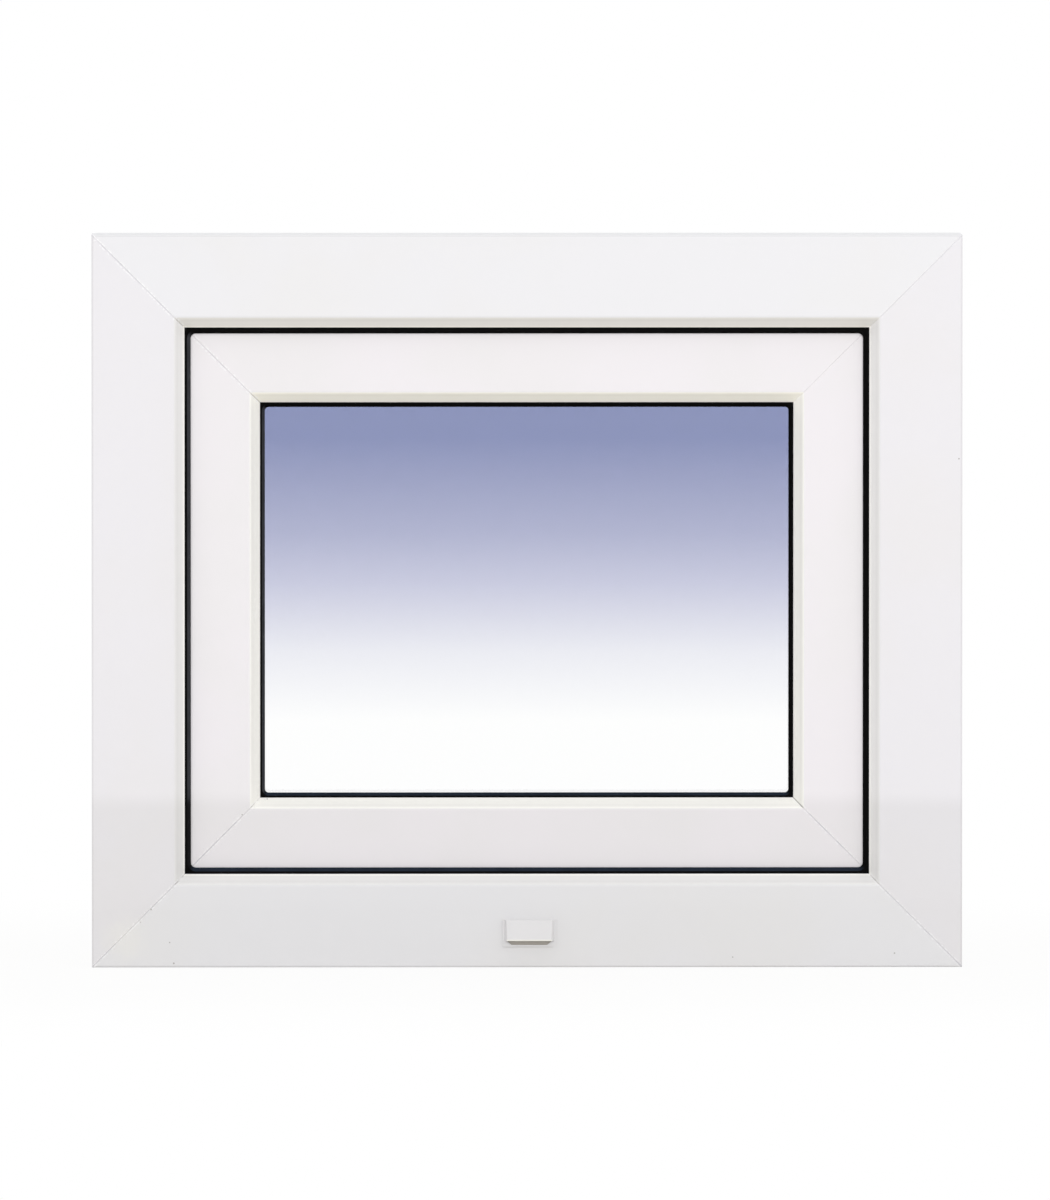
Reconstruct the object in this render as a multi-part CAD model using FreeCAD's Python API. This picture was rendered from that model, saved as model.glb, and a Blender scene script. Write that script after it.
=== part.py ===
import FreeCAD, Part
import math
import os

from FreeCAD import Vector

# Tilt and turn window, closed. Lengths in millimetres.
# X runs along the width, Z up, Y from outside (negative) to inside (positive).
# The origin is the centre of the frame's underside, in the middle of the frame's depth.
# A section is given by u, the distance in from the frame's perimeter,
# and v, the depth behind the frame's outside face.

# Overall
WINDOW_WIDTH = 600.0
WINDOW_HEIGHT = 505.0

# Hollow profiles
WALL = 3.0
WEB = 1.5
EDGE_RADIUS = 1.0
SHOULDER_RADIUS = 3.0
LIP_RADIUS = 2.0
WELD_GROOVE = 0.3

# Frame profile
FRAME_DEPTH = 70.0
FRAME_FLOOR = 44.0
FRAME_LIP = 64.0
FRAME_STOP = 11.0
FRAME_BEVEL = 7.0
FRAME_NOSE = 1.2
FIXING_GROOVE_WIDTH = 8.0
FIXING_GROOVE_DEPTH = 2.5
FIXING_GROOVE_SETBACK = 12.0
FRAME_CHAMBERS = (0.2, 0.48, 0.16, 0.16)

# Clearances between frame and sash
HARDWARE_GAP = 12.0
STOP_GAP = 4.0
FLANGE_GAP = 3.0
FLANGE_OVERLAP = 8.0

# Sash profile
SASH_FACE = 60.0
SASH_BEVEL = 7.0
SASH_NOSE = 1.2
SASH_STOP = 11.0
GLAZING_BITE = 20.0
FLANGE_THICKNESS = 12.0
HARDWARE_AXIS = 13.0
FACEPLATE_WIDTH = 16.0
FACEPLATE_DEPTH = 3.0
CHANNEL_WIDTH = 12.0
CHANNEL_DEPTH = 6.5

# Seals
SEAL_FOOT_WIDTH = 3.0
SEAL_FOOT_DEPTH = 3.0
SEAL_FIT = 0.1
SEAL_SETBACK = 2.5
SEAL_TOE = 0.5
FRAME_SEAL_SHOW = 4.2
FRAME_SEAL_CORNER = 3.5
FRAME_SEAL_SLOPE = 2.5
FLANGE_SEAL_SETBACK = 2.0
FLANGE_SEAL_WIDTH = 6.0
GLAZING_SEAL = 4.0
GLAZING_SEAL_SHOW = 3.3
GLAZING_SEAL_CORNER = 2.5
GLAZING_SEAL_SLOPE = 2.0
BEAD_SEAL = 3.0
BEAD_SEAL_SHOW = 1.0
BEAD_SEAL_WIDTH = 8.0

# Sealed glazing unit
PANE = 4.0
CAVITY = 16.0
GLASS_CLEARANCE = 5.0
EDGE_SEAL_WIDTH = 5.0
SPACER_WIDTH = 7.0

# Glazing beads
BEAD_SETBACK = 1.0
BEAD_CROWN = 6.0
BEAD_HEEL = 4.0
BEAD_WALL = 2.0
BEAD_LIP_WALL = 4.0
BEAD_TAIL_WALL = 6.0
BEAD_SHAPE_RADIUS = 5.0
BEAD_FOOT_WIDTH = 2.6
BEAD_FOOT_DEPTH = 3.5
BEAD_FOOT_SETBACK = 4.0
BEAD_FOOT_FIT = 0.1

# Drainage of the sill: two slots from the rebate to the front chamber, one to the outside
DRAIN_HEIGHT = 23.5
DRAIN_OFFSET = 1.5
DRAIN_SLOT_WIDTH = 25.0
DRAIN_SLOT_HEIGHT = 5.0
INLET_SPACING = 180.0

# Cap over the outer slot: a thin flange, and a hood that slopes out down to its lip
CAP_BASE = 1.0
CAP_WALL = 1.2
CAP_MARGIN = 4.8
CAP_RISE = 6.8
CAP_DROP = 2.7
CAP_BORDER = 1.2
CAP_CORNER = 1.0
HOOD_DEPTH = 4.5
HOOD_LIP = 1.5
HOOD_BROW = 3.3
HOOD_DRAFT = 2.0
HOOD_EDGE = 0.5
MOUTH_HEIGHT = 2.9
MOUTH_SETBACK = 1.8
MOUTH_SLANT = 3.2

# Handle
HANDLE_BACKSET = 15.0
BASE_WIDTH = 31.0
BASE_HEIGHT = 70.0
BASE_THICKNESS = 11.0
BASE_CORNER = 9.0
BASE_EDGE = 2.5
COLLAR_RADIUS = 9.5
COLLAR_WAIST = 8.2
COLLAR_LENGTH = 17.0
COLLAR_FLARE = 5.0
LEVER_LENGTH = 122.0
LEVER_WIDTH = 22.0
LEVER_TIP_WIDTH = 18.0
LEVER_THICKNESS = 15.0
LEVER_TIP_THICKNESS = 10.0
LEVER_EDGE = 3.0
LEVER_TOP_ROUNDING = 0.9
LEVER_TIP_ROUNDING = 0.8

# Hinges
HINGE_PLATE = 3.0
HINGE_PLATE_WIDTH = 26.0
HINGE_PLATE_MARGIN = 6.0
HINGE_CORNER = 4.0
HINGE_EDGE = 0.8
HINGE_WEB = 10.0
HINGE_RADIUS = 7.5
HINGE_FLANGE_GAP = 2.0
KNUCKLE = 20.0
KNUCKLE_GAP = 0.3
PIN_RADIUS = 3.0
PIN_FIT = 0.15
PIN_HEAD = 2.0
PIN_HEAD_RADIUS = 4.5
LEAF_WIDTH = 24.0
LOWER_LEAF = 70.0
UPPER_LEAF = 50.0
HINGE_CORNER_GAP = 4.0

# Depths and distances that follow from the sizes above
FRONT = -FRAME_DEPTH / 2
SASH_EDGE = FRAME_FLOOR + HARDWARE_GAP
SASH_FRONT = FRAME_STOP + STOP_GAP
SASH_LIP = SASH_EDGE + SASH_FACE
SASH_FLOOR = SASH_LIP - GLAZING_BITE
SASH_GLASS_STOP = SASH_FRONT + SASH_STOP
FLANGE_FACE = FRAME_DEPTH + FLANGE_GAP
FLANGE_EDGE = FRAME_FLOOR - FLANGE_OVERLAP
SASH_BACK = FLANGE_FACE + FLANGE_THICKNESS
GLASS_EDGE = SASH_FLOOR + GLASS_CLEARANCE
OUTER_PANE = SASH_GLASS_STOP + GLAZING_SEAL
INNER_PANE = OUTER_PANE + PANE + CAVITY
GLASS_BACK = INNER_PANE + PANE
BEAD_FRONT = GLASS_BACK + BEAD_SEAL
BEAD_BACK = SASH_BACK - BEAD_SETBACK
HINGE_U = FLANGE_EDGE - HINGE_FLANGE_GAP - HINGE_RADIUS
HINGE_V = FRAME_DEPTH + HINGE_PLATE + HINGE_RADIUS

# Distances and heights of the drain cap, from the middle of its slot
HOOD_HALF_WIDTH = DRAIN_SLOT_WIDTH / 2 + CAP_MARGIN
HOOD_TOP = DRAIN_SLOT_HEIGHT / 2 + CAP_RISE
HOOD_FOOT = -DRAIN_SLOT_HEIGHT / 2 - CAP_DROP
CAP_FACE = FRONT - CAP_BASE

# How near two places are that count as one
CLOSE = 0.01

# Quarter turns that carry a bar made along the bottom to its side of the window
TURNS = {"bottom": 0, "left": 90, "top": 180, "right": 270}


def section_point(u, v):
    """A point of a section, in the plane across a bar."""
    return Vector(0, v + FRONT, u)


def face_point(x, z):
    """A point of an outline drawn in the plane of the window."""
    return Vector(x, 0, z)


def corner_arc(before, corner, after, radius):
    """Start, middle and end of the arc that rounds a corner."""
    back = (before - corner).normalize()
    ahead = (after - corner).normalize()
    half = back.getAngle(ahead) / 2
    reach = radius / math.tan(half)
    inward = (back + ahead).normalize()
    middle = corner + inward * (radius / math.sin(half) - radius)
    return corner + back * reach, middle, corner + ahead * reach


def outline(points, place=section_point):
    """Closed wire through (a, b) or (a, b, radius) points, with those corners rounded."""
    corners = [place(point[0], point[1]) for point in points]
    spans = []
    for i, point in enumerate(points):
        if len(point) > 2:
            following = corners[(i + 1) % len(corners)]
            spans.append(corner_arc(corners[i - 1], corners[i], following, point[2]))
        else:
            spans.append((corners[i], None, corners[i]))
    edges = []
    for i, (start, middle, end) in enumerate(spans):
        leaving = spans[i - 1][2]
        if leaving.distanceToPoint(start) > CLOSE:
            edges.append(Part.makeLine(leaving, start))
        if middle is not None:
            edges.append(Part.Arc(start, middle, end).toShape())
    return Part.Wire(edges)


def block(u_start, u_end, v_start, v_end):
    """Four corners of a plain rectangle in a section."""
    return [(u_start, v_start), (u_end, v_start), (u_end, v_end), (u_start, v_end)]


def mitred_bar(outer, chambers, length, groove_faces=None):
    """Hollow bar along the bottom, cut at 45 degrees where it meets its neighbours."""
    wires = [outline(outer)] + [outline(chamber) for chamber in chambers]
    face = Part.makeFace(wires, "Part::FaceMakerBullseye")
    bar = face.extrude(Vector(length, 0, 0)).translated(Vector(-length / 2, 0, 0))
    v_start, v_end = groove_faces or (-SASH_BACK, 2 * SASH_BACK)
    half = length / 2
    corners = [Vector(x, v_start + FRONT, z) for x, z in ((-half, 0), (half, 0), (0, half))]
    wedge = Part.Face(Part.makePolygon(corners + corners[:1]))
    wedge = wedge.extrude(Vector(0, v_end - v_start, 0))
    if groove_faces:
        seams = [edge for edge in wedge.Edges if is_seam(edge, half)]
        wedge = wedge.makeChamfer(WELD_GROOVE, seams)
    return bar.common(wedge).removeSplitter()


def is_seam(edge, half):
    """True for the edges of a mitre wedge that lie along a weld line."""
    ends = [vertex.Point for vertex in edge.Vertexes]
    rises = abs(ends[0].z - ends[1].z) > half / 2
    return rises and abs(ends[0].y - ends[1].y) < half / 1000


def to_side(shape, side):
    """Carry a bar made along the bottom edge to one side of the window."""
    reach = WINDOW_HEIGHT if side in ("bottom", "top") else WINDOW_WIDTH
    moved = shape.translated(Vector(0, 0, -reach / 2))
    moved.rotate(Vector(), Vector(0, 1, 0), TURNS[side])
    return moved.translated(Vector(0, 0, WINDOW_HEIGHT / 2))


def side_length(side):
    return WINDOW_WIDTH if side in ("bottom", "top") else WINDOW_HEIGHT


def panel(u, v_start, v_end, corner=0.0):
    """Plate in the plane of the window, its edge at a distance u from the perimeter."""
    x = WINDOW_WIDTH / 2 - u
    z_low = u
    z_high = WINDOW_HEIGHT - u
    corners = [(-x, z_low), (x, z_low), (x, z_high), (-x, z_high)]
    if corner:
        corners = [point + (corner,) for point in corners]
    plate = Part.Face(outline(corners, face_point))
    plate.translate(Vector(0, v_start + FRONT, 0))
    return plate.extrude(Vector(0, v_end - v_start, 0))


def ring(u_outer, u_inner, v_start, v_end, corner=0.0):
    """Rectangular band round the window, with the corners of its inner edge rounded."""
    return panel(u_outer, v_start, v_end).cut(panel(u_inner, v_start, v_end, corner))


def frame_section():
    """Frame profile: outside leg with bevelled lip, rebate, and fixing grooves behind."""
    groove_end = FIXING_GROOVE_SETBACK + FIXING_GROOVE_WIDTH
    foot_end = FRAME_LIP - SEAL_SETBACK
    foot_start = foot_end - SEAL_FOOT_WIDTH
    foot_floor = FRAME_STOP - SEAL_FOOT_DEPTH
    return [
        (0, 0, EDGE_RADIUS),
        (FRAME_LIP - FRAME_BEVEL, 0, SHOULDER_RADIUS),
        (FRAME_LIP, FRAME_STOP - FRAME_NOSE, LIP_RADIUS),
        (FRAME_LIP, FRAME_STOP),
        (foot_end, FRAME_STOP),
        (foot_end, foot_floor),
        (foot_start, foot_floor),
        (foot_start, FRAME_STOP),
        (FRAME_FLOOR, FRAME_STOP),
        (FRAME_FLOOR, FRAME_DEPTH, EDGE_RADIUS),
        (0, FRAME_DEPTH, EDGE_RADIUS),
        (0, FRAME_DEPTH - FIXING_GROOVE_SETBACK),
        (FIXING_GROOVE_DEPTH, FRAME_DEPTH - FIXING_GROOVE_SETBACK),
        (FIXING_GROOVE_DEPTH, FRAME_DEPTH - groove_end),
        (0, FRAME_DEPTH - groove_end),
        (0, groove_end),
        (FIXING_GROOVE_DEPTH, groove_end),
        (FIXING_GROOVE_DEPTH, FIXING_GROOVE_SETBACK),
        (0, FIXING_GROOVE_SETBACK),
    ]


def frame_chambers():
    """Drainage chamber behind the outside face, then a row of chambers to the inside."""
    foot_start = FRAME_LIP - SEAL_SETBACK - SEAL_FOOT_WIDTH
    front_end = FRAME_STOP - WEB
    chambers = [block(WALL, foot_start - WALL, WALL, front_end)]
    start = front_end + WEB
    room = FRAME_DEPTH - WALL - start - WEB * (len(FRAME_CHAMBERS) - 1)
    for share in FRAME_CHAMBERS:
        end = start + room * share
        chambers.append(block(FIXING_GROOVE_DEPTH + WALL, FRAME_FLOOR - WALL, start, end))
        start = end + WEB
    return chambers


def sash_section():
    """Sash profile: face with bevelled lip, glass rebate, flange and hardware groove."""
    glass_foot_end = SASH_LIP - SEAL_SETBACK
    glass_foot_start = glass_foot_end - SEAL_FOOT_WIDTH
    glass_foot_floor = SASH_GLASS_STOP - SEAL_FOOT_DEPTH
    bead_start = BEAD_FRONT + BEAD_FOOT_SETBACK - BEAD_FOOT_FIT
    bead_end = BEAD_FRONT + BEAD_FOOT_SETBACK + BEAD_FOOT_WIDTH + BEAD_FOOT_FIT
    flange_foot_start = FLANGE_EDGE + FLANGE_SEAL_SETBACK
    flange_foot_end = flange_foot_start + SEAL_FOOT_WIDTH
    axis = FLANGE_FACE - HARDWARE_AXIS
    seat = SASH_EDGE + FACEPLATE_DEPTH
    channel = seat + CHANNEL_DEPTH
    return [
        (SASH_EDGE, SASH_FRONT, EDGE_RADIUS),
        (SASH_LIP - SASH_BEVEL, SASH_FRONT, SHOULDER_RADIUS),
        (SASH_LIP, SASH_GLASS_STOP - SASH_NOSE, LIP_RADIUS),
        (SASH_LIP, SASH_GLASS_STOP),
        (glass_foot_end, SASH_GLASS_STOP),
        (glass_foot_end, glass_foot_floor),
        (glass_foot_start, glass_foot_floor),
        (glass_foot_start, SASH_GLASS_STOP),
        (SASH_FLOOR, SASH_GLASS_STOP),
        (SASH_FLOOR, bead_start),
        (SASH_FLOOR - BEAD_FOOT_DEPTH, bead_start),
        (SASH_FLOOR - BEAD_FOOT_DEPTH, bead_end),
        (SASH_FLOOR, bead_end),
        (SASH_FLOOR, SASH_BACK, EDGE_RADIUS),
        (FLANGE_EDGE, SASH_BACK, SHOULDER_RADIUS),
        (FLANGE_EDGE, FLANGE_FACE),
        (flange_foot_start, FLANGE_FACE),
        (flange_foot_start, FLANGE_FACE + SEAL_FOOT_DEPTH),
        (flange_foot_end, FLANGE_FACE + SEAL_FOOT_DEPTH),
        (flange_foot_end, FLANGE_FACE),
        (SASH_EDGE, FLANGE_FACE),
        (SASH_EDGE, axis + FACEPLATE_WIDTH / 2),
        (seat, axis + FACEPLATE_WIDTH / 2),
        (seat, axis + CHANNEL_WIDTH / 2),
        (channel, axis + CHANNEL_WIDTH / 2),
        (channel, axis - CHANNEL_WIDTH / 2),
        (seat, axis - CHANNEL_WIDTH / 2),
        (seat, axis - FACEPLATE_WIDTH / 2),
        (SASH_EDGE, axis - FACEPLATE_WIDTH / 2),
    ]


def sash_chambers():
    """Front chamber, reinforcement chamber, chambers behind the hardware groove, flange."""
    inner = SASH_EDGE + WALL
    outer = SASH_FLOOR - BEAD_FOOT_DEPTH - WALL
    axis = FLANGE_FACE - HARDWARE_AXIS
    groove_start = axis - FACEPLATE_WIDTH / 2
    groove_end = axis + FACEPLATE_WIDTH / 2
    behind_groove = SASH_EDGE + FACEPLATE_DEPTH + CHANNEL_DEPTH + WEB
    front_end = SASH_GLASS_STOP - SEAL_FOOT_DEPTH
    face_end = SASH_LIP - SASH_BEVEL - WEB
    flange_start = FLANGE_EDGE + FLANGE_SEAL_SETBACK + SEAL_FOOT_WIDTH + WALL
    return [
        block(inner, face_end, SASH_FRONT + WALL, front_end),
        block(inner, outer, front_end + WEB, groove_start - WEB),
        block(behind_groove, outer, groove_start, groove_end),
        block(flange_start, outer, FLANGE_FACE + WALL, SASH_BACK - WALL),
    ]


def bead_section():
    """Glazing bead: flat against the glass seal, curved down to the sash on the inside."""
    foot_start = BEAD_FRONT + BEAD_FOOT_SETBACK
    foot_end = foot_start + BEAD_FOOT_WIDTH
    return [
        (SASH_FLOOR, BEAD_FRONT),
        (SASH_LIP, BEAD_FRONT),
        (SASH_LIP, BEAD_FRONT + BEAD_CROWN, BEAD_SHAPE_RADIUS),
        (SASH_FLOOR + BEAD_HEEL, BEAD_BACK, EDGE_RADIUS),
        (SASH_FLOOR, BEAD_BACK),
        (SASH_FLOOR, foot_end),
        (SASH_FLOOR - BEAD_FOOT_DEPTH, foot_end),
        (SASH_FLOOR - BEAD_FOOT_DEPTH, foot_start),
        (SASH_FLOOR, foot_start),
    ]


def bead_chambers():
    """One hollow that narrows towards the inside, as the bead does."""
    inner = SASH_FLOOR + BEAD_WALL
    outer = SASH_LIP - BEAD_LIP_WALL
    near = BEAD_FRONT + BEAD_WALL
    far = BEAD_BACK - BEAD_TAIL_WALL
    return [[(inner, near), (outer, near), (outer, near + BEAD_WALL), (inner, far)]]


def bars(names, section, chambers, groove_faces=None):
    """Four mitred bars of one section, by node name."""
    made = {}
    for side, name in names.items():
        bar = mitred_bar(section, chambers, side_length(side), groove_faces)
        made[name] = to_side(bar, side)
    return made


def drain_slot():
    """Long hole with round ends through the outside wall of the sill."""
    straight = DRAIN_SLOT_WIDTH - DRAIN_SLOT_HEIGHT
    radius = DRAIN_SLOT_HEIGHT / 2
    slot = Part.makeBox(straight, WALL, DRAIN_SLOT_HEIGHT)
    slot.translate(Vector(-straight / 2, FRONT, -radius))
    for x in (-straight / 2, straight / 2):
        slot = slot.fuse(Part.makeCylinder(radius, WALL, Vector(x, FRONT, 0), Vector(0, 1, 0)))
    return slot.removeSplitter().translated(Vector(DRAIN_OFFSET, 0, DRAIN_HEIGHT))


def inlet_slots():
    """Two openings that let water from the floor of the rebate into the front chamber."""
    slots = []
    for x in (-INLET_SPACING / 2, INLET_SPACING / 2):
        slot = Part.makeBox(DRAIN_SLOT_WIDTH, WEB, DRAIN_SLOT_HEIGHT)
        slot.translate(Vector(x - DRAIN_SLOT_WIDTH / 2, FRAME_STOP - WEB + FRONT, FRAME_FLOOR))
        slots.append(slot)
    return slots


def frame_bars():
    names = {"bottom": "frame_sill", "top": "frame_head"}
    names.update({"left": "frame_jamb_left", "right": "frame_jamb_right"})
    made = bars(names, frame_section(), frame_chambers(), (0, FRAME_DEPTH))
    made["frame_sill"] = made["frame_sill"].cut([drain_slot()] + inlet_slots())
    return made


def sash_bars():
    names = {"bottom": "sash_bottom_rail", "top": "sash_top_rail"}
    names.update({"left": "sash_stile_left", "right": "sash_stile_right"})
    return bars(names, sash_section(), sash_chambers(), (SASH_FRONT, SASH_BACK))


def bead_bars():
    names = {side: "glazing_bead_" + side for side in TURNS}
    return bars(names, bead_section(), bead_chambers())


def on_plane(edge, axis, value):
    """True for an edge that lies at one value of x, y or z."""
    ends = [getattr(vertex.Point, axis) for vertex in edge.Vertexes]
    return all(abs(end - value) < CLOSE for end in ends)


def slope_free_edge(seal, u, v, size):
    """Slopes the free edge of a seal on the side that faces out."""
    reach = WINDOW_WIDTH / 2 - u + CLOSE
    free = []
    for edge in seal.Edges:
        box = edge.BoundBox
        if on_plane(edge, "y", v + FRONT) and -reach < box.XMin and box.XMax < reach:
            free.append(edge)
    return seal.makeChamfer(size, free)


def frame_gasket():
    """Black seal in the frame's stop face that the closed sash presses on."""
    foot_end = FRAME_LIP - SEAL_SETBACK - SEAL_FIT
    foot_start = FRAME_LIP - SEAL_SETBACK - SEAL_FOOT_WIDTH + SEAL_FIT
    free = FRAME_LIP + FRAME_SEAL_SHOW
    body = ring(foot_start - SEAL_TOE, free, FRAME_STOP, SASH_FRONT, FRAME_SEAL_CORNER)
    body = slope_free_edge(body, free, FRAME_STOP, FRAME_SEAL_SLOPE)
    foot = ring(foot_start, foot_end, FRAME_STOP - SEAL_FOOT_DEPTH + SEAL_FIT, FRAME_STOP)
    return body.fuse(foot).removeSplitter()


def sash_gasket():
    """Seal in the sash flange that closes on the frame's inside face."""
    foot_start = FLANGE_EDGE + FLANGE_SEAL_SETBACK + SEAL_FIT
    foot_end = foot_start + SEAL_FOOT_WIDTH - 2 * SEAL_FIT
    body_start = foot_start - SEAL_TOE
    body = ring(body_start, body_start + FLANGE_SEAL_WIDTH, FRAME_DEPTH, FLANGE_FACE)
    foot = ring(foot_start, foot_end, FLANGE_FACE, FLANGE_FACE + SEAL_FOOT_DEPTH - SEAL_FIT)
    return body.fuse(foot).removeSplitter()


def glazing_gasket():
    """Seal between the sash's glass stop and the outer pane."""
    foot_end = SASH_LIP - SEAL_SETBACK - SEAL_FIT
    foot_start = SASH_LIP - SEAL_SETBACK - SEAL_FOOT_WIDTH + SEAL_FIT
    free = SASH_LIP + GLAZING_SEAL_SHOW
    body = ring(foot_start - SEAL_TOE, free, SASH_GLASS_STOP, OUTER_PANE, GLAZING_SEAL_CORNER)
    body = slope_free_edge(body, free, SASH_GLASS_STOP, GLAZING_SEAL_SLOPE)
    foot_floor = SASH_GLASS_STOP - SEAL_FOOT_DEPTH + SEAL_FIT
    foot = ring(foot_start, foot_end, foot_floor, SASH_GLASS_STOP)
    return body.fuse(foot).removeSplitter()


def bead_gasket():
    """Seal between the inner pane and the glazing beads."""
    end = SASH_LIP + BEAD_SEAL_SHOW
    return ring(end - BEAD_SEAL_WIDTH, end, GLASS_BACK, BEAD_FRONT, GLAZING_SEAL_CORNER)


def glazing_unit():
    """Two panes held apart by a spacer bar, closed round the edge by a sealant."""
    gap_start = OUTER_PANE + PANE
    seal_end = GLASS_EDGE + EDGE_SEAL_WIDTH
    return {
        "outer_pane": panel(GLASS_EDGE, OUTER_PANE, gap_start),
        "inner_pane": panel(GLASS_EDGE, INNER_PANE, GLASS_BACK),
        "edge_seal": ring(GLASS_EDGE, seal_end, gap_start, INNER_PANE),
        "pane_spacer": ring(seal_end, seal_end + SPACER_WIDTH, gap_start, INNER_PANE),
    }


def rounded_plate(width, height, corner, thickness):
    """Plate with rounded corners, centred on X and Z, that stands out along +Y."""
    x = width / 2
    z = height / 2
    corners = [(-x, -z, corner), (x, -z, corner), (x, z, corner), (-x, z, corner)]
    return Part.Face(outline(corners, face_point)).extrude(Vector(0, thickness, 0))


def soften(shape, y, size):
    """Bevels the edges of a shape that lie at one depth."""
    return shape.makeChamfer(size, [edge for edge in shape.Edges if on_plane(edge, "y", y)])


def hood(inset):
    """Box that slopes out from its brow to its lip, or with an inset the hollow inside it."""
    back = CAP_BASE if inset else 0
    out = HOOD_DEPTH - inset
    half = HOOD_HALF_WIDTH - inset
    top = HOOD_TOP - inset
    brow = (HOOD_BROW - inset, top)
    side = [(-back, top), brow, (out, HOOD_FOOT + HOOD_LIP), (out, HOOD_FOOT), (-back, HOOD_FOOT)]
    plan = [(-half, -back), (-half, 0), (HOOD_DRAFT - half, out)]
    plan += [(half - HOOD_DRAFT, out), (half, 0), (half, -back)]
    side_view = Part.Face(outline(side, lambda forward, z: Vector(-half, CAP_FACE - forward, z)))
    top_view = Part.Face(outline(plan, lambda x, forward: Vector(x, CAP_FACE - forward, HOOD_FOOT)))
    across = side_view.extrude(Vector(2 * half, 0, 0))
    upwards = top_view.extrude(Vector(0, 0, top - HOOD_FOOT))
    return across.common(upwards)


def rounded_hood():
    """Outer form of the hood with its front edges rounded."""
    form = hood(0)
    front = []
    for edge in form.Edges:
        at_flange = on_plane(edge, "y", CAP_FACE)
        at_foot = on_plane(edge, "z", HOOD_FOOT) and not on_plane(edge, "y", CAP_FACE - HOOD_DEPTH)
        if not at_flange and not at_foot:
            front.append(edge)
    return form.makeFillet(HOOD_EDGE, front)


def cap_mouth():
    """Opening in the flange below the lip, narrower at its foot."""
    wide = HOOD_HALF_WIDTH - MOUTH_SETBACK
    narrow = wide - MOUTH_SLANT
    foot = HOOD_FOOT - MOUTH_HEIGHT
    corners = [(-wide, HOOD_FOOT), (wide, HOOD_FOOT), (narrow, foot), (-narrow, foot)]
    mouth = Part.Face(outline(corners, face_point)).extrude(Vector(0, CAP_BASE, 0))
    return mouth.translated(Vector(0, CAP_FACE, 0))


def drain_cap():
    """Hood over the drain slot, open along its lower edge, on a thin flange."""
    low = HOOD_FOOT - MOUTH_HEIGHT - CAP_BORDER
    high = HOOD_TOP + CAP_BORDER
    width = 2 * (HOOD_HALF_WIDTH + CAP_BORDER)
    flange = rounded_plate(width, high - low, CAP_CORNER, CAP_BASE)
    flange.translate(Vector(0, CAP_FACE, (low + high) / 2))
    cap = flange.fuse(rounded_hood()).cut([hood(CAP_WALL), cap_mouth()]).removeSplitter()
    return cap.translated(Vector(DRAIN_OFFSET, 0, DRAIN_HEIGHT))


def handle_base():
    base = rounded_plate(BASE_WIDTH, BASE_HEIGHT, BASE_CORNER, BASE_THICKNESS)
    return soften(base, BASE_THICKNESS, BASE_EDGE)


def handle_collar():
    """Round neck between the base and the lever, flared at both ends."""
    end = BASE_THICKNESS + COLLAR_LENGTH
    points = [(COLLAR_RADIUS, BASE_THICKNESS), (COLLAR_WAIST, BASE_THICKNESS + COLLAR_FLARE)]
    points += [(COLLAR_WAIST, end - COLLAR_FLARE), (COLLAR_RADIUS, end)]
    points += [(0, end), (0, BASE_THICKNESS)]
    profile = Part.Face(outline(points, lambda radius, y: Vector(radius, y, 0)))
    return profile.revolve(Vector(), Vector(0, 1, 0), 360)


def handle_lever():
    """Lever hanging down from the collar: tapered in width and in thickness, edges bevelled."""
    near = BASE_THICKNESS + COLLAR_LENGTH
    far = near + LEVER_THICKNESS
    half = LEVER_WIDTH / 2
    tip = LEVER_TIP_WIDTH / 2
    foot = half - LEVER_LENGTH
    tip_far = near + (LEVER_THICKNESS + LEVER_TIP_THICKNESS) / 2
    tip_near = tip_far - LEVER_TIP_THICKNESS
    top_round = half * LEVER_TOP_ROUNDING
    tip_round = tip * LEVER_TIP_ROUNDING
    front = [(-half, half, top_round), (half, half, top_round)]
    front += [(tip, foot, tip_round), (-tip, foot, tip_round)]
    front_view = Part.Face(outline(front, face_point)).extrude(Vector(0, far + near, 0))
    side = [(near, half), (far, half), (far, -LEVER_WIDTH, LEVER_LENGTH)]
    side += [(tip_far, foot), (tip_near, foot), (near, -LEVER_WIDTH, LEVER_LENGTH)]
    side_view = Part.Face(outline(side, lambda y, z: Vector(-LEVER_WIDTH, y, z)))
    side_view = side_view.extrude(Vector(LEVER_WIDTH * 2, 0, 0))
    lever = front_view.common(side_view).removeSplitter()
    return lever.makeChamfer(LEVER_EDGE, [edge for edge in lever.Edges if is_rim(lever, edge)])


def is_wall(face):
    """True for a face that stands square to the plane of the window."""
    u_start, u_end, v_start, v_end = face.ParameterRange
    return abs(face.normalAt((u_start + u_end) / 2, (v_start + v_end) / 2).y) < CLOSE


def is_rim(shape, edge):
    """True for an edge between a side wall and a broad face."""
    walls = [face for face in shape.ancestorsOfType(edge, Part.Face) if is_wall(face)]
    return len(walls) == 1


def handle():
    """Handle on the left stile, at half height, with its lever down as when closed."""
    x = -WINDOW_WIDTH / 2 + SASH_EDGE + HANDLE_BACKSET
    place = Vector(x, SASH_BACK + FRONT, WINDOW_HEIGHT / 2)
    makers = (handle_base, handle_collar, handle_lever)
    return {maker.__name__: maker().translated(place) for maker in makers}


def knuckle(z_start, z_end):
    """Barrel and pin bore on the hinge line. X is measured in from that line."""
    height = z_end - z_start
    place = Vector(0, HINGE_V + FRONT, z_start)
    barrel = Part.makeCylinder(HINGE_RADIUS, height, place)
    bore = Part.makeCylinder(PIN_RADIUS + PIN_FIT, height, place)
    return barrel, bore


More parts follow.
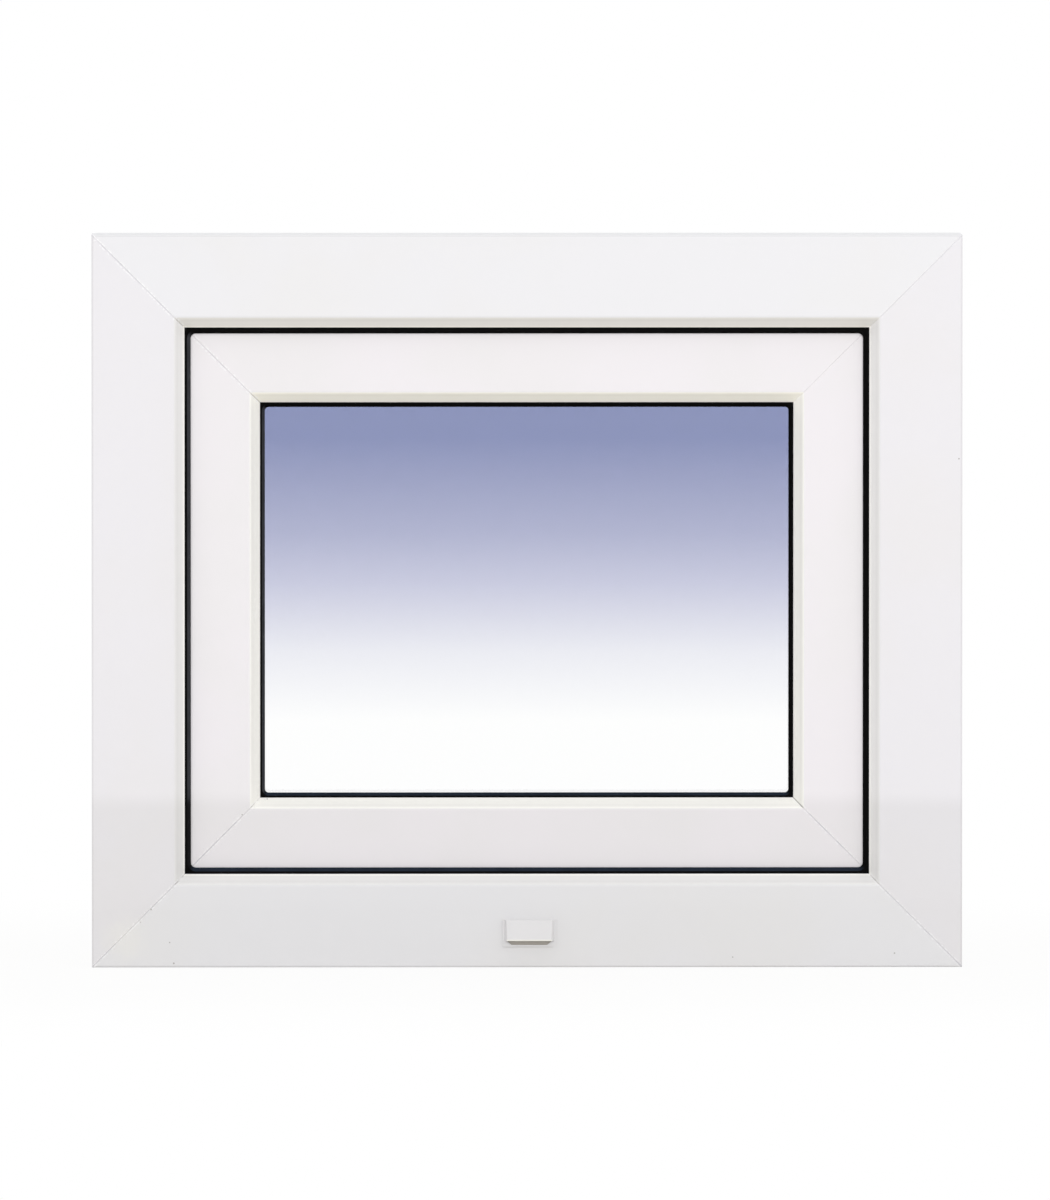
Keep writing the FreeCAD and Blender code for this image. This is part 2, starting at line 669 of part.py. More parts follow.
def hinge_frame_part(z_start, z_end):
    """Plate on the frame's inside face that carries the fixed knuckle."""
    barrel, bore = knuckle(z_start, z_end)
    height = z_end - z_start + 2 * HINGE_PLATE_MARGIN
    plate = rounded_plate(HINGE_PLATE_WIDTH, height, HINGE_CORNER, HINGE_PLATE)
    plate = soften(plate, HINGE_PLATE, HINGE_EDGE)
    side = HINGE_RADIUS - HINGE_PLATE_WIDTH / 2
    plate.translate(Vector(side, FRAME_DEPTH + FRONT, (z_start + z_end) / 2))
    web = Part.makeBox(HINGE_WEB, HINGE_RADIUS, z_end - z_start)
    web.translate(Vector(-HINGE_WEB / 2, FRAME_DEPTH + HINGE_PLATE + FRONT, z_start))
    return barrel.fuse([plate, web]).cut(bore).removeSplitter()


def hinge_sash_part(z_start, z_end, leaf_end):
    """Knuckle with a leaf that lies on the sash's inside face."""
    barrel, bore = knuckle(z_start, z_end)
    leaf_x = HINGE_RADIUS + HINGE_FLANGE_GAP
    arm = Part.makeBox(leaf_x + HINGE_CORNER, HINGE_PLATE, z_end - z_start)
    arm.translate(Vector(0, 0, z_start))
    leaf = rounded_plate(LEAF_WIDTH, leaf_end - z_start, HINGE_CORNER, HINGE_PLATE)
    leaf.translate(Vector(leaf_x + LEAF_WIDTH / 2, 0, (z_start + leaf_end) / 2))
    leaf = soften(leaf.fuse(arm).removeSplitter(), HINGE_PLATE, HINGE_EDGE)
    leaf.translate(Vector(0, SASH_BACK + FRONT, 0))
    return barrel.fuse(leaf).cut(bore).removeSplitter()


def hinge_pin(z_start, z_end):
    """Pin through both knuckles with a low round head."""
    place = Vector(0, HINGE_V + FRONT, z_start)
    pin = Part.makeCylinder(PIN_RADIUS, z_end - z_start, place)
    head = Part.makeCylinder(PIN_HEAD_RADIUS, PIN_HEAD, Vector(0, HINGE_V + FRONT, z_end))
    return pin.fuse(head).removeSplitter()


def hinge(name, leaf_height):
    """Fixed knuckle below, sash knuckle above it and the pin, from the foot upwards."""
    upper_start = KNUCKLE + KNUCKLE_GAP
    top = upper_start + KNUCKLE
    return {
        name + "_hinge_frame_part": hinge_frame_part(0, KNUCKLE),
        name + "_hinge_sash_part": hinge_sash_part(upper_start, top, leaf_height),
        name + "_hinge_pin": hinge_pin(0, top),
    }


def hinges():
    """Lower corner hinge and upper stay hinge on the right jamb, one mirrored upside down."""
    foot = FLANGE_EDGE + HINGE_CORNER_GAP
    made = {}
    for name, leaf_height in (("lower", LOWER_LEAF), ("upper", UPPER_LEAF)):
        for node, shape in hinge(name, leaf_height).items():
            placed = shape.mirror(Vector(), Vector(1, 0, 0))
            placed = placed.translated(Vector(WINDOW_WIDTH / 2 - HINGE_U, 0, foot))
            if name == "upper":
                placed = placed.mirror(Vector(0, 0, WINDOW_HEIGHT / 2), Vector(0, 0, 1))
            made[node] = placed
    return made


def window():
    """Every piece of the window, by node name."""
    pieces = {}
    pieces.update(frame_bars())
    pieces["frame_gasket"] = frame_gasket()
    pieces["drain_cap"] = drain_cap()
    pieces.update(sash_bars())
    pieces["sash_gasket"] = sash_gasket()
    pieces["glazing_gasket"] = glazing_gasket()
    pieces.update(glazing_unit())
    pieces.update(bead_bars())
    pieces["bead_gasket"] = bead_gasket()
    pieces.update(handle())
    pieces.update(hinges())
    return pieces


os.makedirs("parts", exist_ok=True)
for node, shape in window().items():
    solid = shape.Solids[0] if len(shape.Solids) == 1 else shape
    solid.exportStep(os.path.join("parts", node + ".step"))
    print(node, "solids", len(shape.Solids), "valid", shape.isValid(), "volume", round(shape.Volume))
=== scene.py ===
import math

import bpy
from bpy.props import FloatProperty, FloatVectorProperty, PointerProperty
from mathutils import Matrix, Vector


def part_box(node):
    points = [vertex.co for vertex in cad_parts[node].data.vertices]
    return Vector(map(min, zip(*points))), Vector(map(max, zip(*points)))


bl_info = {
    "name": "Tilt and turn window",
    "version": (1, 0, 0),
    "blender": (4, 5, 0),
    "location": "3D View > Sidebar > Window",
    "description": "Finishes and studio for a white tilt and turn window",
    "category": "Object",
}

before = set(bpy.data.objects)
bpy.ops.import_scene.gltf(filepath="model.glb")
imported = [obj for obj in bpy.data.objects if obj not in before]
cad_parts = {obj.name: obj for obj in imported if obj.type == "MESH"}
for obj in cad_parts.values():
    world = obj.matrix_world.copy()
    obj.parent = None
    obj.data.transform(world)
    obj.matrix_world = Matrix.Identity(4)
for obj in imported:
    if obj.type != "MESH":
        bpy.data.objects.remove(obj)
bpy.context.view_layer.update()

FRAME_BARS = ("frame_head", "frame_sill", "frame_jamb_left", "frame_jamb_right")
SASH_BARS = ("sash_top_rail", "sash_bottom_rail", "sash_stile_left", "sash_stile_right")
BEAD_BARS = ("glazing_bead_top", "glazing_bead_bottom", "glazing_bead_left", "glazing_bead_right")
SEALS = ("frame_gasket", "sash_gasket", "glazing_gasket", "bead_gasket")
HANDLE_PIECES = ("handle_base", "handle_collar", "handle_lever")
HINGE_PIECES = (
    "lower_hinge_frame_part", "lower_hinge_sash_part",
    "upper_hinge_frame_part", "upper_hinge_sash_part")
HINGE_PINS = ("lower_hinge_pin", "upper_hinge_pin")
UPRIGHT = ("jamb", "stile", "_left", "_right")

IMAGE_WIDTH = 1050
IMAGE_HEIGHT = 1200

# The frame's width in the image, and how far the middle of its face lies from the image's middle
FRAME_PIXELS = 870.7
OFF_CENTRE_ACROSS = -2.1
OFF_CENTRE_UP = 1.3

# Distance of each sloping lip from the outer edge of the frame, and the width of the slope
FRAME_LIP = 0.064
SASH_LIP = 0.116
SLOPE = 0.007

# Where a lip's painted highlight along its rim begins and where it is full, in front of the lip's inner edge
RIM_START = 0.0016
RIM_FULL = 0.0006

# Depth behind the frame's middle at which the room's side begins
ROOM_SIDE = 0.01

# Width over which one corner's amounts give way to the next one's
CROSSING = 0.04

# How plainly each corner's weld line shows, how far its edges are burnished, and how scuffed it is
WELDS = {"upper left": 0.5, "upper right": 0.2, "lower left": 0.9, "lower right": 0.9}
BURNISH = {"upper left": 0.8, "upper right": 0.25, "lower left": 0.5, "lower right": 0.4}
SCUFFS = {"upper left": 0.0, "upper right": 0.0, "lower left": 1.0, "lower right": 0.4}

# How far a weld line strays, how much further where it is scuffed, and how far the scuffs reach
WELD_STRAY = 0.0006
SCUFF_STRAY = 0.0012
SCUFF_REACH = 0.007

# Height up to which a painted shadow greys the outside, and the softness of its upper edge
SHADOW_LINE = 0.115
SHADOW_EDGE = 0.007

# Heights between which the deeper painted shade over the sill thins out
SILL_SHADOW = (0.015, 0.055)

# Middle of a yellowed patch, its reach, and how ragged its edge is
PATCH_MIDDLE = (-0.278, 0.0, 0.02)
PATCH_REACH = 0.02
PATCH_RAGGED = 0.012

# Heights above the drain cap's foot at which the painted shadow under its hood and the painted highlight on
# the hood's lower edge begin, are full and end
HOOD_SHADOW_BAND = (-0.001, 0.001, 0.0045, 0.006)
HOOD_HIGHLIGHT_BAND = (0.0036, 0.004, 0.0047, 0.0055)

# Specks of dirt on the outside face: place across, place up and radius
SPECKS = (
    (0.2976, 0.3507, 0.0007),
    (0.1418, 0.0069, 0.0006),
    (0.2534, 0.0096, 0.0007),
    (-0.2592, 0.04, 0.0007),
    (-0.2464, 0.0172, 0.0006),
    (-0.2436, 0.0028, 0.0008),
    (-0.2664, 0.0312, 0.0004),
    (-0.1965, 0.1047, 0.0006),
    (-0.1792, 0.1151, 0.0005),
)

# Each lamp's place, the length of its sides and its colour
LAMPS = {
    "key": ((1.0, -2.6, 1.25), (1.2, 0.9), (1.0, 0.995, 0.99)),
    "fill": ((-1.0, -2.5, 0.45), (1.6, 0.8), (0.98, 0.99, 1.0)),
    "back": ((-0.9, 2.2, 1.5), (1.2, 0.9), (1.0, 0.995, 0.99)),
}


def outer_frame():
    """Lowest and highest corner of the four frame bars together."""
    boxes = [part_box(name) for name in FRAME_BARS]
    low = Vector([min(box[0][i] for box in boxes) for i in range(3)])
    high = Vector([max(box[1][i] for box in boxes) for i in range(3)])
    return low, high


FRAME_LOW, FRAME_HIGH = outer_frame()
FRAME_CENTRE = (FRAME_LOW + FRAME_HIGH) / 2
FRAME_SIZE = FRAME_HIGH - FRAME_LOW
GLASS_LOW, GLASS_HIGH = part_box("outer_pane")


def unit_colour(name, description, default):
    return FloatVectorProperty(
        name=name, description=description, subtype="COLOR", size=3, min=0, max=1, default=default)


def length(name, description, default):
    return FloatProperty(name=name, description=description, unit="LENGTH", min=0, default=default)


def share(name, description, default):
    return FloatProperty(name=name, description=description, subtype="FACTOR", min=0, max=1, default=default)


def power(name, description, default):
    return FloatProperty(name=name, description=description, unit="POWER", min=0, default=default)


def angle(name, description, degrees):
    return FloatProperty(
        name=name, description=description, subtype="ANGLE", default=math.radians(degrees))


class ProfileSettings(bpy.types.PropertyGroup):
    """White plastic of the frame, the sash and the beads."""

    colour: unit_colour("Frame", "Colour of the white profiles", (0.79, 0.785, 0.804))
    sash: unit_colour("Sash", "Colour of the sash's outside face", (0.82, 0.791, 0.814))
    warm: unit_colour("Warm cast", "Colour of the faint yellowed clouds", (0.782, 0.771, 0.766))
    upright: unit_colour("Upright cast", "Faint cast of the frame's upright bars", (0.992, 0.98, 0.987))
    # Painted light: the head's top face is painted lighter, as if lit from above
    painted_top_light: unit_colour("Covered", "Colour of the head's top face, kept clean", (0.85, 0.85, 0.855))
    # Painted shadow: how far the lower part of the outside is darkened, most at the sill
    painted_shading: unit_colour("Dust film", "How far dust near the sill dulls the white", (0.915, 0.915, 0.908))
    arris: unit_colour("Outer edge", "How far the frame's outer edges are dulled", (0.93, 0.93, 0.93))
    patch: unit_colour("Yellowed patch", "Colour of the patch in a lower corner", (0.77, 0.757, 0.712))
    speck: unit_colour("Specks", "Colour of the specks of dirt", (0.33, 0.31, 0.29))
    # Painted shadow: the sill under the drain cap's hood is darkened
    hood_shadow: unit_colour("Grime", "Colour of the dirt behind the cap's mouth", (0.5, 0.462, 0.41))
    # Lip colours are painted light: lighter than the flat faces, painted shade where a lip faces down, and a
    # painted highlight along the lips' inner edges
    lip: unit_colour("Frame lip", "Colour of the frame's sloping lip", (0.82, 0.81, 0.8))
    lip_shade: unit_colour("Frame lip, upper", "Cast of the lip that faces down", (0.945, 0.933, 0.895))
    sash_lip: unit_colour("Sash lip", "Colour of the sash's sloping lip", (0.985, 0.972, 0.925))
    sash_lip_shade: unit_colour("Sash lip, upper", "Cast of the lip that faces down", (0.985, 0.97, 0.91))
    lip_highlight: unit_colour("Lip edge", "Colour of the lips' inner edges", (0.99, 0.975, 0.93))
    seam: length("Weld seam", "Width of the cleaned weld line", 0.0008)
    seam_colour: unit_colour("Weld line", "Colour at the bottom of the weld line", (0.61, 0.6, 0.63))
    seam_on_lip: unit_colour("Weld line on a lip", "Colour of the line over a lip", (0.4, 0.385, 0.36))
    burnished: unit_colour("Burnished", "Colour of the flecks beside a weld", (0.91, 0.905, 0.915))
    scratched: unit_colour("Scratches", "Colour of the scratches beside a weld", (0.57, 0.56, 0.55))
    roughness: share("Roughness", "Roughness of the profile skin", 0.36)
    grain: length("Grain", "Height of the fine grain of the skin", 0.00003)


class SealSettings(bpy.types.PropertyGroup):
    """Black rubber seals."""

    colour: unit_colour("Rubber", "Colour of the seals", (0.002, 0.002, 0.002))
    # Painted highlights: seals that face up and seals that face the side are painted lighter, as if lit
    painted_shading: unit_colour("Dust", "Colour of the dust on the seals that face up", (0.02, 0.028, 0.044))
    mottled_sheen: unit_colour("Bloom", "Colour of the bloom on the seals that face the side", (0.05, 0.052, 0.059))
    roughness: share("Roughness", "Roughness of the rubber", 0.45)


class GlassSettings(bpy.types.PropertyGroup):
    """Sealed double glazing with a painted sky reflection: a pale blue tint that fades downwards."""

    top: unit_colour("Top of the glass", "Tint at the upper edge", (0.258, 0.292, 0.496))
    middle: unit_colour("Middle of the glass", "Tint at half height", (0.6, 0.61, 0.755))
    fade: share("Fade", "Share of the height over which the tint fades to clear", 0.775)
    inner: unit_colour("Inner pane", "Tint of the inner pane", (0.985, 0.99, 0.988))
    spacer_dark: unit_colour("Spacer, dark", "Darker lines of the spacer bar", (0.55, 0.56, 0.57))
    spacer_bright: unit_colour("Spacer, bright", "Brighter lines of the spacer bar", (0.72, 0.72, 0.73))


class FittingSettings(bpy.types.PropertyGroup):
    """Drain cap, handle and hinges."""

    cap: unit_colour("Drain cap", "Colour of the drain cap", (0.73, 0.721, 0.726))
    # Painted highlight along the hood's lower edge
    cap_edge_highlight: unit_colour("Cap edge", "Colour of the hood's worn lower edge", (0.88, 0.87, 0.81))
    cap_roughness: share("Cap roughness", "Roughness of the drain cap", 0.38)
    handle: unit_colour("Handle", "Colour of the handle's coat", (0.735, 0.73, 0.736))
    hinge: unit_colour("Hinges", "Colour of the hinges' coat", (0.725, 0.72, 0.726))
    coat_roughness: share("Coat roughness", "Roughness of the powder coat", 0.27)
    zinc_dark: unit_colour("Zinc, dark", "Darker rings of the hinge pins", (0.5, 0.51, 0.53))
    zinc_bright: unit_colour("Zinc, bright", "Brighter rings of the hinge pins", (0.66, 0.66, 0.65))


class StudioSettings(bpy.types.PropertyGroup):
    """Camera, lamps, floor and background."""

    distance: length("Camera distance", "From the camera to the outside face", 15.0)
    azimuth: angle("Azimuth", "Camera angle round the window", -0.6)
    elevation: angle("Elevation", "Camera angle above the horizon", 2.2)
    sky: unit_colour("Sky", "Colour of the sky light", (0.985, 0.99, 1.0))
    ambient: FloatProperty(name="Ambient", description="Strength of the sky light", min=0, default=0.935)
    key: power("Key", "Strength of the main lamp", 14.0)
    fill: power("Fill", "Strength of the second lamp", 5.4)
    back: power("Back", "Strength of the lamp behind", 2.0)
    floor: length("Floor", "Length of the floor's sides", 60.0)
    floor_colour: unit_colour("Floor colour", "Colour of the floor near the window", (0.84, 0.825, 0.8))


class Value:
    """A node's output in an expression: arithmetic on it adds Math nodes."""

    def __init__(self, finish, socket):
        self.finish = finish
        self.socket = socket

    def __add__(self, other):
        return self.finish.math("ADD", self, other)

    def __sub__(self, other):
        return self.finish.math("SUBTRACT", self, other)

    def __rsub__(self, other):
        return self.finish.math("SUBTRACT", other, self)

    def __mul__(self, other):
        return self.finish.math("MULTIPLY", self, other)

    def __truediv__(self, other):
        return self.finish.math("DIVIDE", self, other)

    def __pow__(self, other):
        return self.finish.math("POWER", self, other)

    def __abs__(self):
        return self.finish.math("ABSOLUTE", self)

    __radd__ = __add__
    __rmul__ = __mul__

    def least(self, other):
        return self.finish.math("MINIMUM", self, other)

    def most(self, other):
        return self.finish.math("MAXIMUM", self, other)


class Finish:
    """A material or a world under construction."""

    def __init__(self, name, kind="materials"):
        self.made = getattr(bpy.data, kind).new(name)
        self.made.use_nodes = True
        self.tree = self.made.node_tree
        self.tree.nodes.clear()

    def node(self, kind, settings=None, inputs=None, output=0):
        """Adds a node with its settings and its inputs, and gives one output as a Value."""
        made = self.tree.nodes.new(kind)
        for name, value in (settings or {}).items():
            if name == "stops":
                set_stops(made.color_ramp, value)
            else:
                setattr(made, name, value)
        for name, value in (inputs or {}).items():
            socket = made.inputs[name]
            if isinstance(value, Value):
                self.tree.links.new(value.socket, socket)
            else:
                socket.default_value = value
        return Value(self, made.outputs[output]) if made.outputs else None

    def math(self, operation, *values):
        return self.node("ShaderNodeMath", {"operation": operation}, dict(enumerate(values)))

    def point(self):
        """The point in the window's own axes, in metres."""
        return self.node("ShaderNodeTexCoord", output="Object")

    def facing(self):
        """How far the surface faces right, into the room, and up."""
        return self.split(self.node("ShaderNodeNewGeometry", output="Normal"))

    def split(self, vector):
        """The three parts of a vector."""
        parts = self.node("ShaderNodeSeparateXYZ", inputs={0: vector})
        return [Value(self, output) for output in parts.socket.node.outputs]

    def stretch(self, point, scale):
        return self.node("ShaderNodeVectorMath", {"operation": "MULTIPLY"}, {0: point, 1: scale})

    def noise(self, point, scale, detail=2.0, roughness=0.5):
        inputs = {"Vector": point, "Scale": scale, "Detail": detail, "Roughness": roughness}
        return self.node("ShaderNodeTexNoise", inputs=inputs)

    def ramp(self, value, stops):
        return self.node("ShaderNodeValToRGB", {"stops": stops}, {0: value})

    def smooth(self, value, low, high):
        """0 below low, 1 above high and a soft step between them."""
        settings = {"interpolation_type": "SMOOTHSTEP"}
        inputs = {"Value": value, "From Min": low, "From Max": high}
        return self.node("ShaderNodeMapRange", settings, inputs)

    def fade(self, value, low, high):
        """1 below low, 0 above high and a soft step between them."""
        return 1 - self.smooth(value, low, high)

    def band(self, value, start, full, fading, end):
        """1 from full to fading, 0 before start and after end."""
        return self.smooth(value, start, full) * self.fade(value, fading, end)

    def mix(self, factor, first, second, blend="MIX"):
        """Colour between the first and the second."""
        inputs = {0: factor, 6: opaque(first), 7: opaque(second)}
        return self.node("ShaderNodeMix", {"data_type": "RGBA", "blend_type": blend}, inputs, 2)

    def dull(self, factor, colour, cast):
        """The colour, multiplied by the cast as far as the factor says."""
        return self.mix(factor, colour, cast, "MULTIPLY")

    def bump(self, height, distance, strength=0.5):
        inputs = {"Height": height, "Distance": distance, "Strength": strength}
        return self.node("ShaderNodeBump", inputs=inputs)

    def surface(self, inputs):
        """Ends the material with a Principled surface."""
        inputs["Base Color"] = opaque(inputs["Base Color"])
        return self.output(self.node("ShaderNodeBsdfPrincipled", inputs=inputs))

    def output(self, shader, kind="ShaderNodeOutputMaterial"):
        self.node(kind, inputs={"Surface": shader})
        return self.made


def opaque(colour):
    """A colour with its alpha, where it is plain numbers."""
    return colour if isinstance(colour, Value) else tuple(colour)[:3] + (1.0,)


def darker(colour, amount):
    return tuple(channel * amount for channel in colour)


def set_stops(ramp, stops):
    """Gives a colour ramp its stops, each a position and a colour."""
    while len(ramp.elements) < len(stops):
        ramp.elements.new(1.0)
    for element, (position, colour) in zip(ramp.elements, stops):
        element.position = position
        element.color = opaque(colour)


def dress(names, material):
    """Puts one material on every slot of the named pieces."""
    for name in names:
        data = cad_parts[name].data
        data.materials.clear()
        data.materials.append(material)


def is_upright(name):
    return any(word in name for word in UPRIGHT)


class Spot:
    """A point of a frame or sash bar: its place in metres, where it faces, and how far in it lies."""

    def __init__(self, finish):
        self.point = finish.point()
        self.x, self.y, self.z = finish.split(self.point)
        _, self.roomward, self.up = finish.facing()
        self.outer_half = finish.fade(self.y, 0.0, ROOM_SIDE)
        self.outside = self.outer_half * finish.fade(self.roomward, -0.4, -0.1)
        across = FRAME_SIZE.x / 2 - abs(self.x - FRAME_CENTRE.x)
        rise = FRAME_SIZE.z / 2 - abs(self.z - FRAME_CENTRE.z)
        self.from_edge = across.least(rise)
        self.from_mitre = abs(across - rise) / math.sqrt(2)


def by_corner(finish, spot, amounts):
    """The amount that belongs to the nearest corner."""
    right = finish.smooth(spot.x, FRAME_CENTRE.x - CROSSING / 2, FRAME_CENTRE.x + CROSSING / 2)
    top = finish.smooth(spot.z, FRAME_CENTRE.z - CROSSING / 2, FRAME_CENTRE.z + CROSSING / 2)
    upper = amounts["upper left"] + right * (amounts["upper right"] - amounts["upper left"])
    lower = amounts["lower left"] + right * (amounts["lower right"] - amounts["lower left"])
    return upper * top + lower * (1 - top)


def sloping_lip(finish, spot, lip):
    """1 on a sloping lip, 0 on the flat faces, on the sides and in the weld grooves."""
    sloping = finish.band(abs(spot.roomward), 0.3, 0.5, 0.8, 0.97)
    return sloping * finish.smooth(spot.from_edge, lip - SLOPE * 1.2, lip - SLOPE) * spot.outside


def lip_colour(finish, spot, lip, colour, edge):
    """A lip's colour, which is painted light, with a painted shade line near its shoulder and a painted
    highlight along its edge.
    """
    shoulder_shade = finish.fade(abs(spot.from_edge - (lip - SLOPE * 0.7)), 0.0, SLOPE * 0.2)
    rim_highlight = finish.smooth(spot.from_edge, lip - RIM_START, lip - RIM_FULL)
    return finish.mix(rim_highlight, finish.mix(shoulder_shade, colour, darker(colour, 0.96)), edge)


def specks(finish, spot):
    """Dark specks of dirt at their places on the outside face."""
    marks = None
    for across, up, radius in SPECKS:
        reach = ((spot.x - across) ** 2 + (spot.z - up) ** 2) ** 0.5
        mark = finish.fade(reach, radius * 0.5, radius)
        marks = mark if marks is None else marks.most(mark)
    return marks * spot.outside


def painted_lower_shadow(finish, spot):
    """How much painted shadow lies here: a straight edge above, and deeper shade at the sill."""
    film = finish.fade(spot.z, SHADOW_LINE - SHADOW_EDGE, SHADOW_LINE + SHADOW_EDGE) * 0.85
    return (film + finish.fade(spot.z, *SILL_SHADOW) * 0.4) * spot.outside


def yellowed_patch(finish, spot):
    """Faint yellowed patch near one lower corner."""
    flat = finish.stretch(spot.point, (1.0, 0.0, 1.0))
    reach = finish.node(
        "ShaderNodeVectorMath", {"operation": "DISTANCE"}, {0: flat, 1: PATCH_MIDDLE}, "Value")
    ragged = reach + (finish.noise(spot.point, 160.0, 2.0) - 0.5) * PATCH_RAGGED
    return finish.fade(ragged, PATCH_REACH * 0.2, PATCH_REACH) * spot.outside


def painted_hood_shadow(finish, spot):
    """Painted shadow on the sill behind the mouth of the drain cap, under its hood."""
    low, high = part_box("drain_cap")
    middle = (low.x + high.x) / 2
    half = (high.x - low.x) / 2
    height = finish.band(spot.z, *[low.z + height for height in HOOD_SHADOW_BAND])
    width = finish.fade(abs(spot.x - middle), half - 0.003, half - 0.001)
    return height * width * finish.fade(spot.y, FRAME_LOW.y + 0.004, FRAME_LOW.y + 0.006)


def outer_arris(finish, spot):
    """Thin dull line along the outer edges of the outside face."""
    return finish.fade(spot.from_edge, 0.001, 0.0017) * finish.fade(spot.roomward, -0.8, -0.5)


def top_of_head(finish, spot):
    """1 on the head's top face, which is painted lighter, as painted light from above."""
    topmost = finish.smooth(spot.z, FRAME_HIGH.z - 0.002, FRAME_HIGH.z - 0.001)
    return finish.smooth(spot.up, 0.6, 0.8) * topmost


def weld_marks(finish, spot, seam):
    """What cleaning a weld leaves: its line, the halo beside it, burnished flecks and scratches."""
    scuffed = by_corner(finish, spot, SCUFFS) * spot.outside
    rough = finish.noise(spot.point, 420.0, 3.0, 0.7)
    stray = (finish.noise(spot.point, 70.0, 2.0) - 0.5) * WELD_STRAY
    near = spot.from_mitre + stray + (rough - 0.5) * scuffed * SCUFF_STRAY
    worn_and_highlit = finish.smooth(finish.noise(spot.point, 110.0, 2.0), 0.4, 0.58) * 0.85 + 0.15
    line = finish.fade(near, seam * 0.15, seam * 0.6) * worn_and_highlit * by_corner(finish, spot, WELDS)
    halo = finish.band(near, seam * 0.4, seam * 0.8, seam * 1.2, seam * 2.2)
    burnished = finish.smooth(finish.noise(spot.point, 620.0, 1.0), 0.49, 0.56)
    flecks = halo * burnished * by_corner(finish, spot, BURNISH)
    strokes = finish.noise(finish.stretch(spot.point, (1.0, 1.0, 2.6)), 800.0, 2.0)
    scratches = finish.fade(near, 0.001, SCUFF_REACH) * scuffed * finish.smooth(strokes, 0.6, 0.7)
    return line, halo, flecks, scratches


def extruded_skin(finish, point, settings, upright):
    """Clouds, height and roughness of an extruded skin, with drawing lines along the bar."""
    along = (18.0, 900.0, 14.0) if upright else (14.0, 900.0, 18.0)
    lines = finish.noise(finish.stretch(point, along), 1.0, 3.0)
    clouds = finish.noise(point, 9.0, 3.0)
    height = finish.noise(point, 2600.0, 1.0) + lines * 0.6
    roughness = settings.roughness + (clouds - 0.5) * 0.1
    return finish.smooth(clouds, 0.42, 0.68) * 0.5, height, roughness


def plastic_surface(finish, settings, colour, height, roughness):
    return finish.surface({
        "Base Color": colour, "Roughness": roughness, "Normal": finish.bump(height, settings.grain, 0.6),
        "Specular IOR Level": 0.5, "IOR": 1.53})


def bead_plastic(name, settings, upright):
    """White extruded plastic of the glazing beads."""
    finish = Finish(name)
    clouds, height, roughness = extruded_skin(finish, finish.point(), settings, upright)
    colour = finish.mix(clouds, settings.colour, settings.warm)
    return plastic_surface(finish, settings, colour, height, roughness)


def bar_plastic(name, settings, upright, part):
    """White extruded plastic of the frame or the sash, with its lips, welds and specks of dirt, and with
    painted light and shade: lighter lips, a lighter top face, and painted shadow over the lower part and
    under the drain cap's hood.
    """
    finish = Finish(name)
    spot = Spot(finish)
    clouds, height, roughness = extruded_skin(finish, spot.point, settings, upright)
    if part == "frame":
        lip, tint, shade = FRAME_LIP, settings.lip, settings.lip_shade
        colour = finish.mix(clouds, settings.colour, settings.warm)
        if upright:
            colour = finish.dull(spot.outer_half, colour, settings.upright)
    else:
        lip, tint, shade = SASH_LIP, settings.sash_lip, settings.sash_lip_shade
        plain = finish.mix(spot.outer_half, settings.colour, settings.sash)
        colour = finish.mix(clouds, plain, settings.warm)

    # The sloping lips get painted light: a lighter colour, painted shade where they face down and a painted
    # highlight along the edge
    sloping = sloping_lip(finish, spot, lip)
    colour = finish.mix(sloping, colour, lip_colour(finish, spot, lip, tint, settings.lip_highlight))
    colour = finish.dull(sloping * finish.fade(spot.up, -0.6, -0.3), colour, shade)
    # Painted shadow darkens the lower part of the outside, less on lips that face up, as painted light from
    # above
    lit_from_above = sloping * finish.smooth(spot.up, 0.3, 0.6)
    colour = finish.dull(painted_lower_shadow(finish, spot) * (1 - lit_from_above * 0.65), colour, settings.painted_shading)

    line, halo, flecks, scratches = weld_marks(finish, spot, settings.seam)
    # Painted light: the head's top face is painted lighter and made rougher
    painted_top_light = top_of_head(finish, spot)
    colour = finish.mix(painted_top_light, colour, settings.painted_top_light)
    colour = finish.dull(outer_arris(finish, spot), colour, settings.arris)
    colour = finish.mix(yellowed_patch(finish, spot) * 0.4, colour, settings.patch)
    colour = finish.mix(flecks, colour, settings.burnished)
    colour = finish.mix(line * (1 - sloping * 0.7), colour, settings.seam_colour)
    colour = finish.mix(line * sloping, colour, settings.seam_on_lip)
    colour = finish.mix(scratches * 0.5, colour, settings.scratched)
    colour = finish.mix(specks(finish, spot) * 0.8, colour, settings.speck)
    # Painted shadow on the sill under the drain cap's hood
    colour = finish.mix(painted_hood_shadow(finish, spot), colour, settings.hood_shadow)
    roughness = roughness + halo * 0.12 + painted_top_light * 0.3
    height = height - line * 2.0 - scratches * 2.0
    return plastic_surface(finish, settings, colour, height, roughness)


def black_rubber(name, settings):
    """Matt black rubber, painted lighter as painted highlights where it faces up and where it faces the
    side, with the side highlight dimmed below the painted shadow line.
    """
    finish = Finish(name)
    point = finish.point()
    height = finish.split(point)[2]
    right, _, up = finish.facing()
    mottled_sheen = finish.smooth(finish.noise(point, 60.0, 4.0, 0.6), 0.3, 0.7)
    amount = mottled_sheen * 0.3 + 0.7
    # Painted light and shade: highlights on seals that face the side and up, the side highlight dimmed below
    # the painted shadow line
    unshaded = finish.smooth(height, SHADOW_LINE - 0.004, SHADOW_LINE + 0.004) * 0.85 + 0.15
    side_highlight = finish.smooth(right, 0.35, 0.85) * unshaded * amount
    colour = finish.mix(side_highlight, settings.colour, settings.mottled_sheen)
    colour = finish.mix(finish.smooth(up, 0.35, 0.85) * amount, colour, settings.painted_shading)
    return finish.surface({
        "Base Color": colour, "Roughness": settings.roughness + mottled_sheen * 0.15,
        "Normal": finish.bump(finish.noise(point, 3200.0, 1.0), 0.00004),
        "Specular IOR Level": 0.03})


